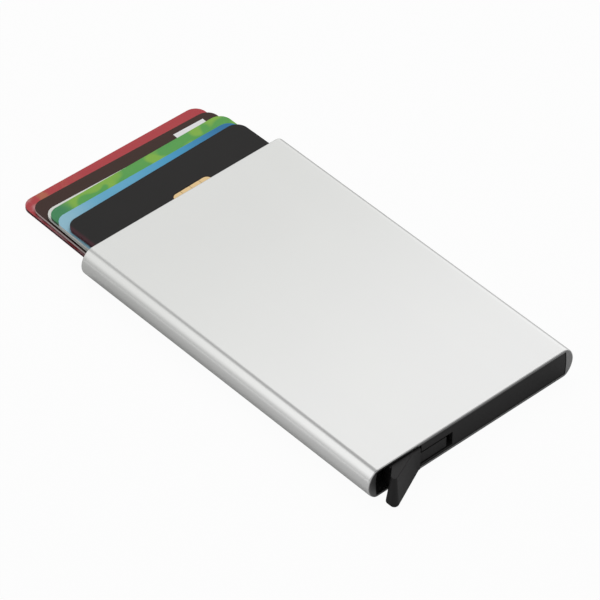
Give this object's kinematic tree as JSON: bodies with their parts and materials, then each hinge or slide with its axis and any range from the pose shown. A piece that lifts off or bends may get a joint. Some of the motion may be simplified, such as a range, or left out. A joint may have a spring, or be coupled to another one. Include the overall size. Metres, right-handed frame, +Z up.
{
  "type": "pop up card holder",
  "caption": "Flat metal sleeve for bank cards: a lever at one short end fans the cards out of the open mouth at the other.",
  "frame": {"origin": "on the underside, below the middle of the whole object as it stands with its cards fanned", "axes": "+Z up through the flat top, +Y along the case towards the card mouth, +X across the case, away from the lever's fin"},
  "size_m": [0.0626, 0.1303, 0.0081],
  "materials": {
    "satin_aluminium": "fine satin anodised, extruded",
    "black_plastic": "moulded, fine satin texture",
    "pin_steel": "ground dowel",
    "felt": "thin pressed felt",
    "red_print": "satin laminated card",
    "dark_print": "satin laminated card",
    "white_print": "satin laminated card",
    "green_print": "satin laminated card",
    "blue_print": "satin laminated card",
    "black_print": "satin laminated card",
    "gold_contacts": "gold plated contact plate"
  },
  "bodies": {
    "case": {"shell": "satin_aluminium", "end_plug": "black_plastic", "plug_cover": "black_plastic", "pivot_pin": "pin_steel", "lower_felt_strip": "felt", "upper_felt_strip": "felt"},
    "lever": {"lever": "black_plastic"},
    "red_card": {"red_card": "red_print"},
    "dark_card": {"dark_card": "dark_print"},
    "white_card": {"white_card": "white_print"},
    "green_card": {"green_card": "green_print"},
    "blue_card": {"blue_card": "blue_print"},
    "black_card": {"black_card": "black_print", "chip_contacts": "gold_contacts"}
  },
  "joints": [
    {"name": "lever_pivot", "type": "hinge", "parent": "case", "child": "lever", "pos_m": [-0.0102, -0.05485, 0.00404], "axis": [0, 0, 1], "range_deg": [0, 70]},
    {"name": "red_slide", "type": "slide", "parent": "case", "child": "red_card", "axis": [0, 1, 0], "range_m": [-0.02873, 0.03346]},
    {"name": "dark_slide", "type": "slide", "parent": "case", "child": "dark_card", "axis": [0, 1, 0], "range_m": [-0.02496, 0.03723]},
    {"name": "white_slide", "type": "slide", "parent": "case", "child": "white_card", "axis": [0, 1, 0], "range_m": [-0.0203, 0.04189]},
    {"name": "green_slide", "type": "slide", "parent": "case", "child": "green_card", "axis": [0, 1, 0], "range_m": [-0.0202, 0.04199]},
    {"name": "blue_slide", "type": "slide", "parent": "case", "child": "blue_card", "axis": [0, 1, 0], "range_m": [-0.01603, 0.04616]},
    {"name": "black_slide", "type": "slide", "parent": "case", "child": "black_card", "axis": [0, 1, 0], "range_m": [-0.01294, 0.04925]}
  ]
}
